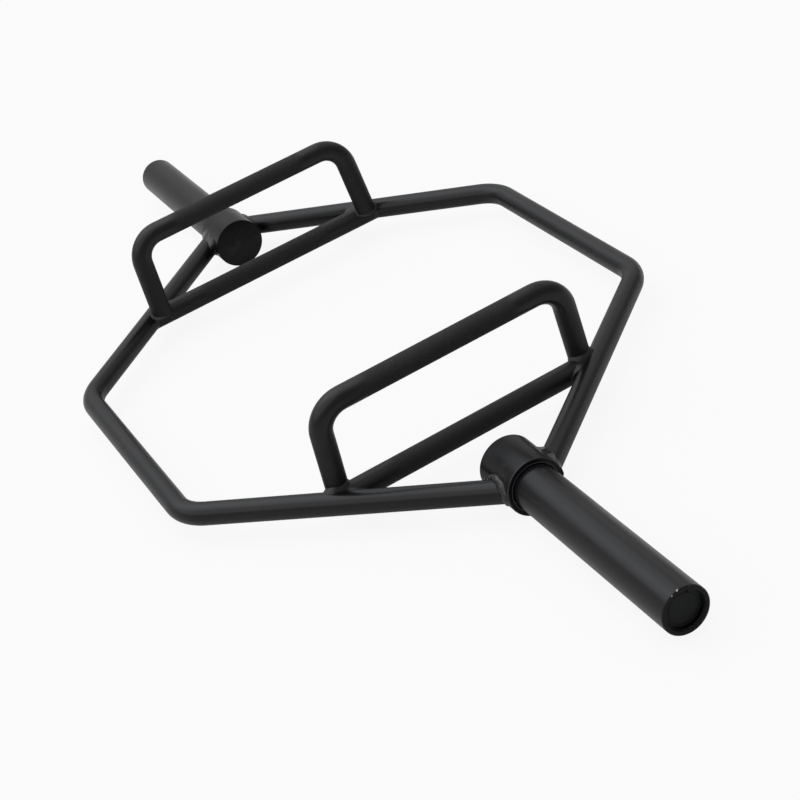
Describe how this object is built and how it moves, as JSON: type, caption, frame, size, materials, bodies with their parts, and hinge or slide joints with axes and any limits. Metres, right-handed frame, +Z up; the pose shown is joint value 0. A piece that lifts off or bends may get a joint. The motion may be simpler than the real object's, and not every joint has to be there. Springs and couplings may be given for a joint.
{
  "type": "hex trap bar",
  "caption": "Hexagonal bent-tube frame that a lifter stands inside, with low and raised side handles and turning sleeves at both ends that take weight plates.",
  "frame": {"origin": "on the floor under the middle of the bar, with both collars standing on the floor and the hexagon level", "axes": "+X along the sleeves to the right, +Y to the rear along the handles, +Z up"},
  "size_m": [1.4, 0.602, 0.15],
  "materials": {
    "frame_coat": "black powder coat, satin",
    "grip_coat": "black powder coat, satin, over a knurled grip",
    "weld_coat": "black powder coat over weld metal",
    "sleeve_coat": "black powder coat, satin",
    "cap_plastic": "black moulded, fine matte",
    "axle_steel": "turned and ground",
    "washer_steel": "zinc plated",
    "ring_steel": "black phosphated spring steel",
    "bushing_bronze": "oil-impregnated sintered bronze"
  },
  "bodies": {
    "frame": {"front_frame_tube": "frame_coat", "rear_frame_tube": "frame_coat", "left_low_handle": "grip_coat", "left_raised_handle": "grip_coat", "left_collar": "frame_coat", "left_collar_plate": "frame_coat", "left_collar_welds": "weld_coat", "left_low_handle_welds": "weld_coat", "left_raised_handle_welds": "weld_coat", "left_axle": "axle_steel", "left_thrust_washer": "washer_steel", "left_retaining_washer": "washer_steel", "left_axle_ring": "ring_steel", "right_low_handle": "grip_coat", "right_raised_handle": "grip_coat", "right_collar": "frame_coat", "right_collar_plate": "frame_coat", "right_collar_welds": "weld_coat", "right_low_handle_welds": "weld_coat", "right_raised_handle_welds": "weld_coat", "right_axle": "axle_steel", "right_thrust_washer": "washer_steel", "right_retaining_washer": "washer_steel", "right_axle_ring": "ring_steel"},
    "left_sleeve_turning": {"left_sleeve": "sleeve_coat", "left_inner_bushing": "bushing_bronze", "left_outer_bushing": "bushing_bronze", "left_end_cap": "cap_plastic", "left_cap_ring": "ring_steel"},
    "right_sleeve_turning": {"right_sleeve": "sleeve_coat", "right_inner_bushing": "bushing_bronze", "right_outer_bushing": "bushing_bronze", "right_end_cap": "cap_plastic", "right_cap_ring": "ring_steel"}
  },
  "joints": [
    {"name": "left_sleeve_turn", "type": "hinge", "parent": "frame", "child": "left_sleeve_turning", "pos_m": [-0.5655, 0, 0.0315], "axis": [1, 0, 0], "continuous": true},
    {"name": "right_sleeve_turn", "type": "hinge", "parent": "frame", "child": "right_sleeve_turning", "pos_m": [0.5655, 0, 0.0315], "axis": [1, 0, 0], "continuous": true}
  ]
}
